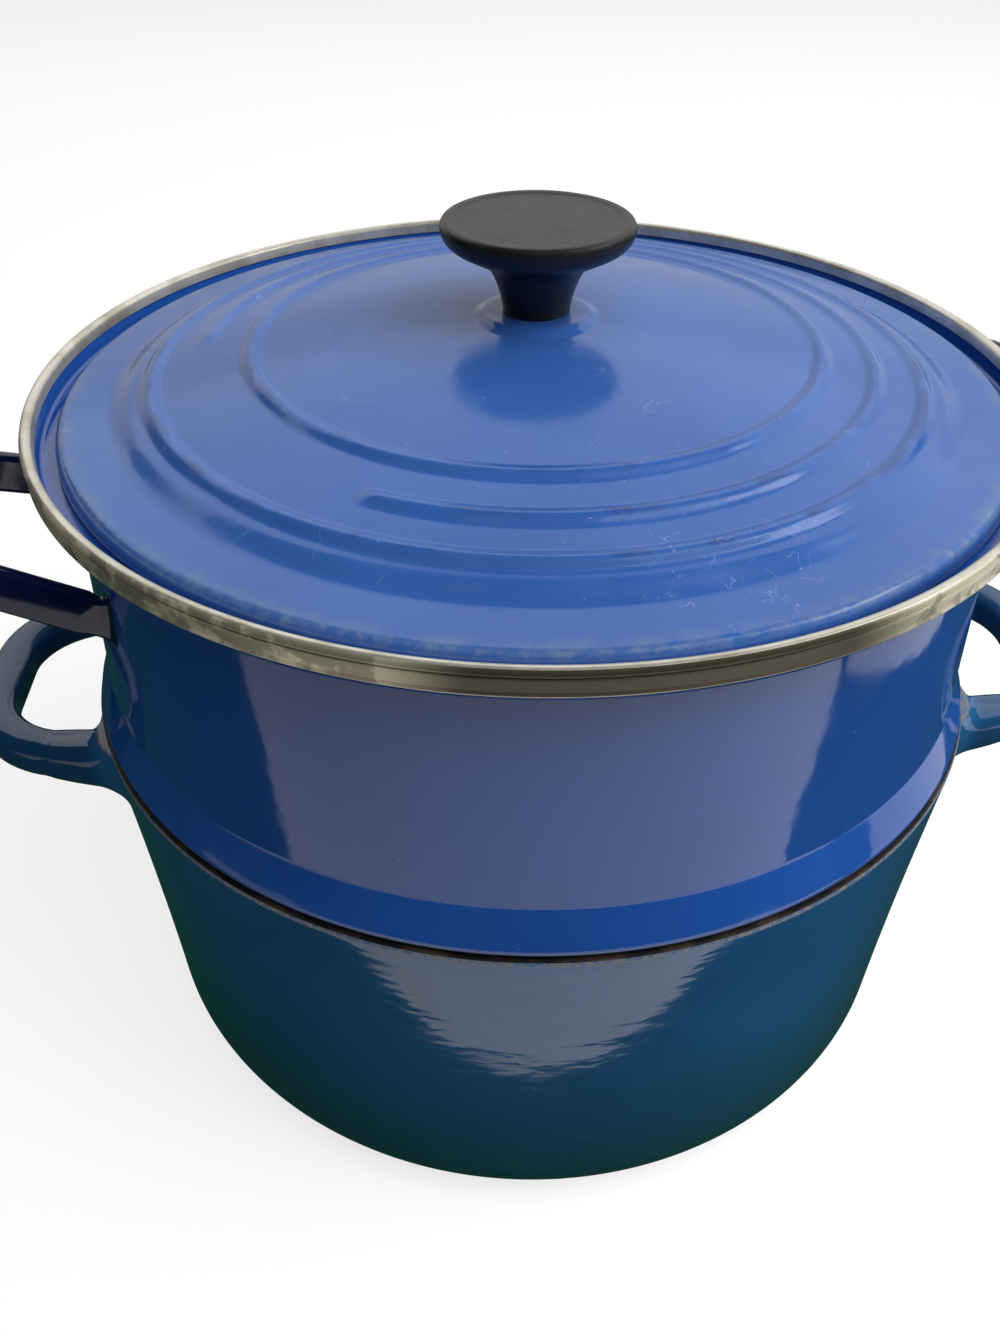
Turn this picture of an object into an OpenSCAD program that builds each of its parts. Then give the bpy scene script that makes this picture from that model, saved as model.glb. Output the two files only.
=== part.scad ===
// Double boiler: a cast iron pot, a stepped steel pan that sits in it, and a domed lid with a knob.
// Origin: centre of the pot's base. +Z up, the pot's handles along X.

/* [Lower pot] */
// Height of the pot's rim above the table
pot_h = 110.4; // [95:0.2:130]
// Outer radius at the rim
pot_rim_r = 123.7; // [121:0.1:128]
// Outward lean of the wall at the rim, degrees
pot_lean = 7; // [5:0.1:9]
// Outward lean of the wall at the base, degrees
foot_lean = 3.7; // [2:0.1:4.8]
// Wall thickness, iron and enamel together
pot_t = 5; // [4.2:0.1:5.6]
// Floor thickness
floor_t = 5; // [4:0.1:8]
// Radius of the outer bottom corner
pot_corner = 19; // [12:0.5:24]
// Rounding of the bare rim's edges
pot_rim_round = 1; // [0.6:0.1:1.4]

/* [Pot handles] */
// Reach of the handle's outer edge from the pot's axis
grip_reach = 159.5; // [156:0.5:170]
// Half width between the arms, to their centre lines, at the wall
grip_half_w = 36.5; // [32:0.5:44]
// How far each arm leans towards the other, degrees
grip_lean = 11; // [0:1:16]
// Width of the bar seen from above
grip_w = 11; // [9:0.5:12]
// Thickness of the bar, top to bottom
grip_t = 11.5; // [9:0.5:13]
// Edge rounding of the bar
grip_round = 4; // [2:0.25:4.25]
// Bend radius of the bar's centre line at the two corners
grip_bend = 25; // [16:0.5:28]
// Distance from the rim down to the top of the bar
grip_drop = 5.4; // [3:0.2:10]
// Extra width on the outer side where an arm grows into the wall
grip_root = 7; // [2:0.5:9]
// Length over which an arm narrows from the wall outwards
grip_root_l = 20; // [8:1:22]
// How far an arm's top rises where it meets the rim
grip_rise = 4.4; // [1:0.2:5]

/* [Upper pan] */
// Sheet thickness, steel and enamel together
pan_t = 1.8; // [1.4:0.1:2.2]
// How far the pan's upright wall stands in from the pot's rim
wall_in = 4.7; // [4.4:0.1:6]
// Height of the pan from the pot's rim to the top of its own rim
pan_h = 83; // [70:0.5:110]
// How deep the pan reaches into the pot
insert_depth = 52; // [30:1:55]
// Radius of the pan's outer bottom corner
pan_corner = 17; // [8:0.5:22]
// Gap between the pan and the pot's inner wall
insert_gap = 1.2; // [0.6:0.1:2]
// Gap left under a part that rests on another
seat_gap = 0.3; // [0.2:0.05:0.5]
// How far the step's rounded edge stands in from the pot's rim
step_in = 0.9; // [0.6:0.1:2]
// Height of the step's slope, from its rounded edge to the wall
step_h = 12; // [8:0.5:20]
// Radius of the bend between the slope and the wall
step_bend = 3; // [2:0.5:6]
// Outer radius of the step's rounded edge
step_round = 1.9; // [1.85:0.05:2.2]
// Height of the lid seat below the pan's rim
seat_drop = 8.2; // [6:0.2:10]
// Radius of the bend where the wall turns out to the lid seat
seat_bend = 0.5; // [0.4:0.1:1]
// Outward lean of the rim, degrees
rim_lean = 8; // [0:1:12]

/* [Steel band] */
// How far the band's lower edge stands out from the pan's wall
band_out = 9; // [8.6:0.1:12]
// Height of the band
band_h = 6.4; // [5.5:0.1:7]
// Thickness of the steel strip
band_t = 0.5; // [0.4:0.05:0.6]
// Gap between the band and the pan's rim
band_gap = 0.05; // [0.03:0.01:0.1]
// How far the strip turns down inside the rim
band_lip = 2.2; // [1.6:0.1:3]
// Radius of the groove under the top bead
band_groove = 0.45; // [0.3:0.05:0.5]
// Radius of the rolled lower edge
band_roll = 0.42; // [0.35:0.01:0.5]

/* [Pan handles] */
// Turn of the pan's handles from the pot's, degrees
pan_turn = 12; // [0:1:60]
// Reach of the strap's outer face from the pan's axis, in its own tilted plane
strap_reach = 157; // [150:0.5:165]
// Half width between the strap's arms, to their centre lines, at the wall
strap_half_w = 34.5; // [30:0.5:44]
// How far each arm leans towards the other, degrees
strap_lean = 13; // [0:1:18]
// Thickness of the strap
strap_t = 4; // [3:0.25:5]
// Width of the strap, top to bottom
strap_w = 11; // [9:0.5:13]
// Rounding of the strap's edges
strap_round = 1.5; // [0.5:0.1:1.5]
// Bend radius of the strap's centre line at the two corners
strap_bend = 19; // [14:0.5:24]
// Upward tilt of the handle, degrees
strap_tilt = 22; // [0:1:30]
// Height of the strap's centre line at the wall, above the pot's rim
strap_z = 49.5; // [40:0.5:55]

/* [Lid] */
// How far the lid's edge reaches over its seat, from the outside of the pan's wall
lid_over = 2; // [1.6:0.1:2.4]
// Thickness of the lid
lid_t = 3.6; // [3:0.1:4.5]
// Thickness of the lid's rim where it rests on the seat
lid_edge_t = 5; // [4:0.1:6]
// Rounding of the lid's upper edge
lid_edge_round = 3; // [2:0.25:3.5]
// Height of the lid's middle above its seat
lid_rise = 23; // [18:0.5:30]
// Radius of the dome
dome_r = 385; // [370:5:420]
// Radius of the inner ring
ring_1 = 72.3; // [66:0.1:74]
// Radius of the middle ring
ring_2 = 85.5; // [82:0.1:87]
// Radius of the outer ring
ring_3 = 97.5; // [95:0.1:98]
// Height of each ring
ring_h = 1.3; // [0.8:0.1:2]
// Half width of each ring
ring_w = 3.3; // [2.5:0.1:3.7]
// Width of the lid's flat brim
brim_w = 12.5; // [11.5:0.1:13]
// Width of the step between the brim and the dome
brim_step = 6.5; // [5:0.1:7]
// Rise of the brim from its edge to the step
brim_rise = 1.2; // [0.4:0.1:2]
// Radius of the pad under the knob
pad_r = 12.5; // [11:0.5:16]
// Height of the pad under the knob
pad_h = 1.2; // [0.6:0.1:2]
// Depth of the locating ring under the lid
skirt_h = 6; // [4:0.5:8]
// Thickness of the locating ring
skirt_t = 3.5; // [2.5:0.1:5]
// Gap between the locating ring and the pan's wall
skirt_gap = 0.8; // [0.5:0.1:1.5]

/* [Knob] */
// Radius of the knob's disc
knob_r = 24.1; // [21:0.1:27]
// Height of the knob
knob_h = 23.3; // [21:0.1:30]
// Radius of the stem at the lid
stem_r = 8.5; // [8:0.1:10]
// Width of the raised border round the disc's top
knob_border = 2.2; // [1.5:0.1:3]
// Depth of the disc's top below its border
knob_dish = 0.45; // [0.2:0.05:0.8]
// Outer radius of the threaded bush moulded into the knob
bush_r = 4; // [3.5:0.1:5]
// Length of the bush
bush_l = 13; // [8:0.5:15]
// Radius of the screw
screw_r = 2.5; // [2:0.1:3]
// Length of the screw's shank in the bush
screw_grip = 10; // [6:0.5:12]
// Radius of the screw's head
head_r = 4.8; // [4:0.1:6]
// Height of the screw's head
head_h = 3; // [2:0.1:4]
// Radius of the washer
washer_r = 6.5; // [6:0.1:8]
// Thickness of the washer
washer_t = 1; // [0.6:0.1:1.6]
// Radial gap between the screw and the bush
screw_gap = 0.05; // [0.03:0.01:0.1]
// Radial gap between the screw and the lid's hole
hole_gap = 0.7; // [0.3:0.1:1.2]

/* [Hidden] */
$fn = 96;

// The pot's wall flares along one arc. The pan's lower part follows the same arc with a gap.
flare_r = pot_h / (sin(pot_lean) - sin(foot_lean));
flare_dz = flare_r * sin(pot_lean);
flare_z = pot_h - flare_dz;
flare_x = pot_rim_r + flare_r * cos(pot_lean);

// How far pieces of one solid run into each other, and how much slimmer the inner one is
lap = 0.4;
slim = 0.02;

// Loop handles of the pot
grip_z = pot_h - grip_drop - grip_t / 2;
grip_wall_r = wall_r(grip_z);
grip_foot = sqrt(grip_wall_r * grip_wall_r - grip_half_w * grip_half_w);
grip_inner = grip_foot - 8.5;

// The pan's lower part
pan_wall_r = pot_rim_r - wall_in;
insert_arc = flare_r + pot_t + insert_gap;
pan_z = pot_h - insert_depth;
shelf_z = pot_h + seat_gap;
shelf_bend = 1.2;
corner_a = asin((pan_z + pan_corner - flare_z) / (insert_arc + pan_corner));
corner_x = flare_x - (insert_arc + pan_corner) * cos(corner_a);
neck_a = asin((shelf_z - shelf_bend - flare_z) / (insert_arc - shelf_bend));
neck_x = flare_x - (insert_arc - shelf_bend) * cos(neck_a);

// The step's rounded edge runs up to the wall along a slope and a small bend.
step_x = pot_rim_r - step_in - step_round;
step_dx = step_x - pan_wall_r;
bend_dx = step_bend - step_dx;
bend_span = sqrt(bend_dx * bend_dx + step_h * step_h);
slope_a = asin((step_bend + step_round) / bend_span) - atan2(bend_dx, step_h);

// The pan's rim leans outwards and fills the folded steel band.
band_r = pan_wall_r + band_out;
rim_z = pot_h + pan_h;
bead_r = band_t + band_gap + pan_t / 2;
flange_y = band_h - bead_r * 0.85;
flange_x = -(band_t + band_gap);
band_z = rim_z - bead_r * sin(rim_lean) - flange_y * cos(rim_lean);
seat_z = rim_z - seat_drop;
seat_corner = pan_t + 1.4;
seat_lx = flange_x - seat_corner;
seat_ly = (seat_z + seat_corner - band_z + seat_lx * sin(rim_lean)) / cos(rim_lean);
seat_x = band_r + seat_lx * cos(rim_lean) + seat_ly * sin(rim_lean);
flange_top = [band_r + flange_x * cos(rim_lean) + flange_y * sin(rim_lean),
              band_z - flange_x * sin(rim_lean) + flange_y * cos(rim_lean)];

// Strap handles of the pan
strap_foot = sqrt(pan_wall_r * pan_wall_r - strap_half_w * strap_half_w);

// The lid rests on the pan's seat.
lid_r = pan_wall_r + lid_over;
brim_out_r = lid_r - brim_w;
brim_in_r = brim_out_r - brim_step;
lid_z = seat_z + pan_t + seat_gap;
lid_top_z = lid_z + lid_rise;
pad_z = lid_top_z + pad_h;
brim_z = lid_z + lid_edge_t;
skirt_r = pan_wall_r - pan_t - skirt_gap;
pad_under_z = lid_top_z - lid_t - 0.8;
pad_under_r = washer_r + 3;
pad_foot_r = pad_r + 3;
edge_chamfer = 0.6;

// Outer radius of the pot's wall at a height
function wall_r(z) = flare_x - sqrt(flare_r * flare_r - (z - flare_z) * (z - flare_z));

// Path points are pairs: a point, and the direction that leads out of the sheet.
function arc(cx, cz, r, a0, a1, side = 1, n = 8) =
    [for (i = [0:n])
        let (a = a0 + (a1 - a0) * i / n, out = [cos(a), sin(a)])
            [[cx, cz] + r * out, side * out]];
function at_depth(path, depth = 0) = [for (p = path) p[0] - depth * p[1]];
function reversed(list) = [for (i = [len(list) - 1:-1:0]) list[i]];
function bezier(a, b, c, d, n = 8) =
    [for (i = [0:n])
        let (t = i / n, s = 1 - t)
            s * s * s * a + 3 * s * s * t * b + 3 * s * t * t * c + t * t * t * d];

// Lid surface: a dome with three raised rings, a step down and a brim
function dome(r) = lid_top_z - dome_r + sqrt(dome_r * dome_r - r * r);
function ring(r, at) = abs(r - at) < ring_w ? ring_h * (1 + cos(180 * (r - at) / ring_w)) / 2 : 0;
function brim(r) = brim_z + brim_rise * (lid_r - lid_edge_round - r) / (lid_r - lid_edge_round - brim_out_r);
function ease(t) = t < 0 ? 0 : t > 1 ? 1 : t * t * (3 - 2 * t);
function lid_surface(r) = let (k = ease((r - brim_in_r) / (brim_out_r - brim_in_r)))
    (1 - k) * dome(min(r, brim_out_r)) + k * brim(max(r, brim_in_r));
function lid_top(r) = lid_surface(r) + ring(r, ring_1) + ring(r, ring_2) + ring(r, ring_3);
lid_radii = concat([for (i = [0:7]) pad_foot_r + (ring_1 - ring_w - pad_foot_r) * i / 8],
                   [for (at = [ring_1, ring_2, ring_3], i = [-6:6]) at + ring_w * i / 6],
                   [for (i = [0:6]) brim_in_r + (brim_out_r - brim_in_r) * i / 6]);
under_radii = concat([for (i = [0:8]) pad_under_r + 3 + (brim_in_r - pad_under_r - 3) * i / 9],
                     [for (i = [1:4]) brim_in_r + (brim_out_r - brim_in_r) * i / 4]);

function bar_points(w, t, r, n = 5) = [for (q = [0:3], i = [0:n]) let (a = 90 * (q + i / n))
    [(q == 0 || q == 3 ? 1 : -1) * (w / 2 - r) + r * cos(a), (q < 2 ? 1 : -1) * (t / 2 - r) + r * sin(a)]];

module bar(length, w, t, r) {
    linear_extrude(length)
        polygon(bar_points(w, t, r));
}

// A loop handle in the XY plane: two leaning arms, two bends and an outer bar.
// The straight pieces are a hair slimmer and run a little way into the bends.
module loop(inner, foot, reach, half_w, lean, bend, w, t, r) {
    bar_x = reach - w / 2;
    bend_x = bar_x - bend;
    arm_end = bend_x + bend * sin(lean);
    arm = (arm_end - inner) / cos(lean);
    inner_y = half_w + (foot - inner) * tan(lean);
    bend_y = half_w - (arm_end - foot) * tan(lean) - bend * cos(lean);
    for (side = [-1, 1]) {
        translate([inner, side * inner_y, 0])
            rotate([0, 0, -side * lean])
                rotate([90, 0, 90])
                    bar(arm + lap, w - slim, t - slim, r);
        translate([bend_x, side * bend_y, 0])
            rotate([0, 0, side > 0 ? 0 : lean - 90])
                rotate_extrude(angle = 90 - lean)
                    translate([bend, 0])
                        polygon(bar_points(w, t, r));
    }
    translate([bar_x, bend_y + lap, 0])
        rotate([90, 0, 0])
            bar(2 * bend_y + 2 * lap, w - slim, t - slim, r);
}

// Where a pot handle's arm grows wider and higher into the wall
module grip_flare(side) {
    at_wall = grip_foot - 2;
    hull()
        for (x = [grip_inner, at_wall, at_wall + grip_root_l])
            let (k = x > at_wall ? 0 : 1, y = grip_half_w - (x - grip_foot) * tan(grip_lean))
                translate([x, side * (y + k * grip_root / 2), k * grip_rise / 2])
                    rotate([90, 0, 90])
                        bar(lap, grip_w + k * grip_root, grip_t - 2 * slim + k * grip_rise, grip_round);
}

module grips() {
    for (turn = [0, 180])
        rotate([0, 0, turn])
            translate([0, 0, grip_z]) {
                loop(grip_inner, grip_foot, grip_reach, grip_half_w, grip_lean, grip_bend,
                     grip_w, grip_t, grip_round);
                grip_flare(-1);
                grip_flare(1);
            }
}

// A solid of revolution that ends inside the pot's wall, so that the handles stop there
module wall_core() {
    core_arc = flare_r + pot_t / 2;
    base_a = asin(-flare_z / core_arc);
    top_a = asin(flare_dz / core_arc);
    core = at_depth(arc(flare_x, flare_z, core_arc, 180 - base_a, 180 - top_a));
    rotate_extrude()
        polygon(concat([[0, 0]], core, [[0, pot_h]]));
}

module pot_shell() {
    inner_arc = flare_r + pot_t;
    rr = pot_rim_round;
    out_a = asin((flare_dz - rr) / (flare_r + rr));
    in_a = asin((flare_dz - rr) / (inner_arc - rr));
    foot_a = asin((pot_corner - flare_z) / (flare_r + pot_corner));
    foot_x = flare_x - (flare_r + pot_corner) * cos(foot_a);
    in_corner = pot_corner - pot_t;
    inner_z = floor_t + in_corner;
    inner_a = asin((inner_z - flare_z) / (inner_arc + in_corner));
    inner_x = flare_x - (inner_arc + in_corner) * cos(inner_a);
    rotate_extrude()
        polygon(concat(
            [[0, 0]],
            at_depth(arc(foot_x, pot_corner, pot_corner, -90, -foot_a)),
            at_depth(arc(flare_x, flare_z, flare_r, 180 - foot_a, 180 - out_a)),
            at_depth(arc(flare_x - (flare_r + rr) * cos(out_a), pot_h - rr, rr, -out_a, 90, 1, 5)),
            at_depth(arc(flare_x - (inner_arc - rr) * cos(in_a), pot_h - rr, rr, 90, 180 - in_a, 1, 5)),
            at_depth(arc(flare_x, flare_z, inner_arc, 180 - in_a, 180 - inner_a)),
            at_depth(arc(inner_x, inner_z, in_corner, -inner_a, -90)),
            [[0, floor_t]]));
}

module lower_pot() {
    color("steelblue")
        union() {
            pot_shell();
            difference() {
                grips();
                wall_core();
            }
        }
}

module upper_pan() {
    path = concat(
        arc(corner_x, pan_z + pan_corner, pan_corner, -90, -corner_a),
        arc(flare_x, flare_z, insert_arc, 180 - corner_a, 180 - neck_a, -1),
        arc(neck_x, shelf_z - shelf_bend, shelf_bend, 180 - neck_a, 90, -1, 4),
        arc(step_x, shelf_z + step_round, step_round, -90, slope_a),
        arc(pan_wall_r + step_bend, shelf_z + step_round + step_h, step_bend, 180 + slope_a, 180, -1, 4),
        arc(pan_wall_r + seat_bend, seat_z - seat_bend, seat_bend, 180, 90, -1, 5),
        arc(seat_x, seat_z + seat_corner, seat_corner, -90, -rim_lean, 1, 6),
        [[flange_top, [cos(rim_lean), -sin(rim_lean)]]]);
    inside = reversed(at_depth(path, pan_t));
    color("royalblue")
        rotate_extrude()
            polygon(concat([[0, pan_z]], at_depth(path), inside, [[0, pan_z + pan_t]]));
}

// The strip folded over the rim: bead, groove, face, rolled edge and inner lip
module steel_rim_band() {
    hollow_w = 2 * bead_r - 2 * band_t;
    hollow_h = flange_y + band_gap - band_h + bead_r + 2 * band_lip;
    color("silver")
        rotate_extrude()
            translate([band_r, band_z])
                rotate(-rim_lean)
                    difference() {
                        union() {
                            translate([-band_t, band_roll])
                                square([band_t, band_h - bead_r - band_roll]);
                            translate([band_roll - band_t, band_roll])
                                circle(r = band_roll);
                            translate([-2 * bead_r, band_h - bead_r - band_lip])
                                square([band_t, band_lip]);
                            translate([-bead_r, band_h - bead_r])
                                intersection() {
                                    circle(r = bead_r);
                                    translate([-bead_r, 0])
                                        square([2 * bead_r, bead_r]);
                                }
                        }
                        translate([band_groove - 0.3, band_h - bead_r - 0.1])
                            circle(r = band_groove);
                        translate([-2 * bead_r + band_t, band_h - bead_r - 2 * band_lip])
                            square([hollow_w, hollow_h]);
                    }
}

module pan_strap(turn) {
    color("navy")
        rotate([0, 0, pan_turn + turn])
            difference() {
                translate([strap_foot, 0, pot_h + strap_z])
                    rotate([0, -strap_tilt, 0])
                        translate([-strap_foot, 0, 0])
                            loop(strap_foot - 14, strap_foot, strap_reach, strap_half_w, strap_lean,
                                 strap_bend, strap_t, strap_w, strap_round);
                translate([0, 0, pot_h])
                    cylinder(r = pan_wall_r, h = pan_h);
            }
}

module upper_handle_left() {
    pan_strap(180);
}

module upper_handle_right() {
    pan_strap(0);
}

module lid() {
    top = concat(
        [[pad_r, pad_z]],
        [[pad_r + 1, pad_z - 0.3]],
        [for (r = lid_radii) [r, lid_top(r)]],
        at_depth(arc(lid_r - lid_edge_round, brim_z - lid_edge_round, lid_edge_round, 90, 0)));
    edge = concat(
        [[lid_r, lid_z + edge_chamfer]],
        [[lid_r - edge_chamfer, lid_z]],
        [[skirt_r, lid_z]],
        [[skirt_r, lid_z - skirt_h + 1]],
        [[skirt_r - 1, lid_z - skirt_h]],
        [[skirt_r - skirt_t, lid_z - skirt_h]]);
    under = concat(
        [[skirt_r - skirt_t, lid_surface(skirt_r - skirt_t) - lid_t]],
        [for (r = reversed(under_radii)) [r, lid_surface(r) - lid_t]],
        [[pad_under_r, pad_under_z]],
        [[0, pad_under_z]]);
    color("cornflowerblue")
        difference() {
            rotate_extrude()
                polygon(concat([[0, pad_z]], top, edge, under));
            translate([0, 0, pad_under_z - 1])
                cylinder(r = screw_r + hole_gap, h = lid_t + pad_h + 4);
        }
}

// Knob outline: a flared stem, the underside of the disc, its rounded edge and the border of its top
module knob() {
    neck = [knob_r * 0.55, knob_h * 0.535];
    under = [knob_r * 0.85, knob_h * 0.705];
    rim = [knob_r, knob_h - 1.8];
    border = knob_r - 1.6;
    dish_r = border - knob_border;
    outline = concat(
        [[0, 0]],
        bezier([stem_r, 0], [stem_r + 0.5, knob_h * 0.2], [neck[0] - 2.4, neck[1] - 2], neck),
        bezier(under, under + [2.6, 1.4], rim - [0, 2.4], rim),
        bezier(rim, rim + [0, 1], [border + 0.9, knob_h], [border, knob_h], 5),
        [[dish_r + 0.5, knob_h], [dish_r, knob_h - knob_dish], [0, knob_h - knob_dish]]);
    color([0.2, 0.2, 0.19])
        translate([0, 0, pad_z])
            difference() {
                rotate_extrude()
                    polygon(outline);
                translate([0, 0, -1])
                    cylinder(r = bush_r, h = bush_l + 1);
            }
}

module knob_bush() {
    color("goldenrod")
        translate([0, 0, pad_z])
            difference() {
                cylinder(r = bush_r, h = bush_l);
                translate([0, 0, -1])
                    cylinder(r = screw_r + screw_gap, h = screw_grip + 2);
            }
}

module knob_screw() {
    head_z = pad_under_z - washer_t - head_h;
    color("gainsboro")
        difference() {
            union() {
                translate([0, 0, head_z])
                    cylinder(r = head_r, h = head_h);
                translate([0, 0, head_z + head_h - 0.5])
                    cylinder(r = screw_r, h = pad_z - head_z - head_h + 0.5 + screw_grip);
            }
            translate([-head_r - 1, -0.6, head_z - 1])
                cube([2 * head_r + 2, 1.2, 1 + head_h / 2]);
        }
}

module knob_washer() {
    color("lightgray")
        translate([0, 0, pad_under_z - washer_t])
            difference() {
                cylinder(r = washer_r, h = washer_t);
                translate([0, 0, -1])
                    cylinder(r = screw_r + hole_gap / 2, h = washer_t + 2);
            }
}

lower_pot();
upper_pan();
steel_rim_band();
upper_handle_left();
upper_handle_right();
lid();
knob();
knob_bush();
knob_screw();
knob_washer();
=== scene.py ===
import math

import bpy
from mathutils import Matrix, Vector


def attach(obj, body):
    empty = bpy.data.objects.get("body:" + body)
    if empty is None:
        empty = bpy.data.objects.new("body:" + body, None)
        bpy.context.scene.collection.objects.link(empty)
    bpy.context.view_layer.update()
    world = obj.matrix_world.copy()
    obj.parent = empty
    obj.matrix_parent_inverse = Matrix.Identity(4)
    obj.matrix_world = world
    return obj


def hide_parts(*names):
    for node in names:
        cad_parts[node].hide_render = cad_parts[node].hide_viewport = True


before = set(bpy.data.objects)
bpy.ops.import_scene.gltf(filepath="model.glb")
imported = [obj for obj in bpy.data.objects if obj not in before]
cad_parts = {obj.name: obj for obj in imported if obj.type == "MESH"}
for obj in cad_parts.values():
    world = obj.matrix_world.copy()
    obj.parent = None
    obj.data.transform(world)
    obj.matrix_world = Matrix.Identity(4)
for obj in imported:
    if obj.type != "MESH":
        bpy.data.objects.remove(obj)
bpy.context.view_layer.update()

scene = bpy.context.scene
scene.view_settings.view_transform = "Standard"
mm = 0.001
samePoint = 0.004  # mm, outline points nearer than this are one
print("frame loaded:", ", ".join(sorted(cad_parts)))


def toLinear(hexColour):
    channels = [int(hexColour[i:i + 2], 16) / 255 for i in (1, 3, 5)]
    return [c / 12.92 if c <= 0.04045 else ((c + 0.055) / 1.055) ** 2.4 for c in channels] + [1.0]


# Adds a node. Each setting is one of its options, or one of its inputs: a value or the socket that feeds it
def addNode(tree, kind, settings, output=0):
    node = tree.nodes.new(kind)
    for key, value in settings.items():
        if isinstance(key, str) and key not in node.inputs:
            setattr(node, key, value)
        elif isinstance(value, bpy.types.NodeSocket):
            tree.links.new(value, node.inputs[key])
        else:
            node.inputs[key].default_value = value
    return node.outputs[output]


# Outlines are lists of (radius, height) in mm
def arc(cx, cz, radius, start, end, steps=12):
    turns = [math.radians(start + (end - start) * i / steps) for i in range(steps + 1)]
    return [(cx + radius * math.cos(t), cz + radius * math.sin(t)) for t in turns]


def line(a, b, step=4.0):
    count = max(1, round(math.dist(a, b) / step))
    return [(a[0] + (b[0] - a[0]) * i / count, a[1] + (b[1] - a[1]) * i / count) for i in range(count + 1)]


def bezier(a, b, c, d, steps=14):
    outline = []
    for i in range(steps + 1):
        t = i / steps
        weights = ((1 - t) ** 3, 3 * (1 - t) ** 2 * t, 3 * (1 - t) * t * t, t ** 3)
        outline.append(tuple(sum(w * p[k] for w, p in zip(weights, (a, b, c, d))) for k in (0, 1)))
    return outline


def makePiece(name, body, slot, points, faces, zones, materials, sharp=32):
    mesh = bpy.data.meshes.new(name)
    mesh.from_pydata([[c * mm for c in p] for p in points], [], faces)
    for material in materials:
        mesh.materials.append(material)
    mesh.polygons.foreach_set("material_index", zones)
    mesh.polygons.foreach_set("use_smooth", [True] * len(mesh.polygons))
    mesh.update()
    mesh.set_sharp_from_angle(angle=math.radians(sharp))
    piece = bpy.data.objects.new(name, mesh)
    scene.collection.objects.link(piece)
    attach(piece, body)
    return piece


# Turns outlines about Z. Each part of the outline has a zone, the number of its material.
def turnOutline(parts, turns, closed=False):
    outline, zoneOf = [], []
    for profile, zone in parts:
        for point in profile:
            if outline and math.dist(point, outline[-1]) < samePoint:
                continue
            if outline:
                zoneOf.append(zone)
            outline.append(point)
    if closed:
        zoneOf.append(parts[-1][1])
    points, rings = [], []
    for r, z in outline:
        if r < samePoint / 4:
            rings.append([len(points)] * turns)
            points.append((0, 0, z))
        else:
            rings.append(list(range(len(points), len(points) + turns)))
            points += [(r * math.cos(2 * math.pi * k / turns), r * math.sin(2 * math.pi * k / turns), z)
                       for k in range(turns)]
    faces, zones = [], []
    for i, zone in enumerate(zoneOf):
        low, high = rings[i], rings[(i + 1) % len(rings)]
        for k in range(turns):
            n = (k + 1) % turns
            corners = [low[k], low[n], high[n], high[k]]
            corners = [c for j, c in enumerate(corners) if c not in corners[:j]]
            if len(corners) > 2:
                faces.append(corners)
                zones.append(zone)
    return points, faces, zones


# camera, at the photograph's viewing angle (image 1000 x 1333)
cameraLook = {"position": (-0.02917, -0.30857, 0.33318), "heading": 4.017, "down": 34.24, "roll": 0.369,
              "picture": (1000, 1333), "focal": 1281.4, "centre": (505, 600), "film": 36}


def makeCamera(look):
    turn, down, roll = (math.radians(look[k]) for k in ("heading", "down", "roll"))
    ahead = Vector((math.sin(turn) * math.cos(down), math.cos(turn) * math.cos(down), -math.sin(down)))
    level = Vector((math.cos(turn), -math.sin(turn), 0))
    upright = level.cross(ahead)
    right = level * math.cos(roll) + upright * math.sin(roll)
    up = upright * math.cos(roll) - level * math.sin(roll)
    camera = bpy.data.objects.new("camera", bpy.data.cameras.new("camera"))
    scene.collection.objects.link(camera)
    aim = Matrix((right, up, -ahead)).transposed().to_4x4()
    camera.matrix_world = Matrix.Translation(look["position"]) @ aim
    wide, tall = look["picture"]
    camera.data.sensor_width = look["film"]
    camera.data.lens = look["focal"] / tall * look["film"]
    camera.data.shift_x = (wide / 2 - look["centre"][0]) / tall
    camera.data.shift_y = (look["centre"][1] - tall / 2) / tall
    camera.data.clip_start = 0.01
    scene.camera = camera


makeCamera(cameraLook)
print("camera set")


# Position in mm, distance from the axis and height, so that patterns have their real size
def positionMm(tree):
    here = addNode(tree, "ShaderNodeTexCoord", {}, "Object")
    place = addNode(tree, "ShaderNodeVectorMath", {"operation": "SCALE", 0: here, "Scale": 1000.0})
    flat = addNode(tree, "ShaderNodeVectorMath", {"operation": "MULTIPLY", 0: place, 1: (1, 1, 0)})
    radius = addNode(tree, "ShaderNodeVectorMath", {"operation": "LENGTH", 0: flat}, "Value")
    height = addNode(tree, "ShaderNodeSeparateXYZ", {0: place}, "Z")
    return place, radius, height


def startMaterial(name):
    material = bpy.data.materials.new(name)
    material.use_nodes = True
    return material, material.node_tree, material.node_tree.nodes["Principled BSDF"]


def linkSurface(tree, surface, colour, roughness, normal):
    tree.links.new(colour, surface.inputs["Base Color"])
    tree.links.new(roughness, surface.inputs["Roughness"])
    tree.links.new(normal, surface.inputs["Normal"])


# A mask that fades out round a point, from a share of the reach to the whole of it
def nearMask(tree, place, look, share, blend="SMOOTHSTEP"):
    away = addNode(tree, "ShaderNodeVectorMath", {
        "operation": "DISTANCE", 0: place, 1: look["near"]}, "Value")
    return addNode(tree, "ShaderNodeMapRange", {
        "interpolation_type": blend, "Value": away, "From Min": look["within"] * share,
        "From Max": look["within"], "To Min": 1.0, "To Max": 0.0})


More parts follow.
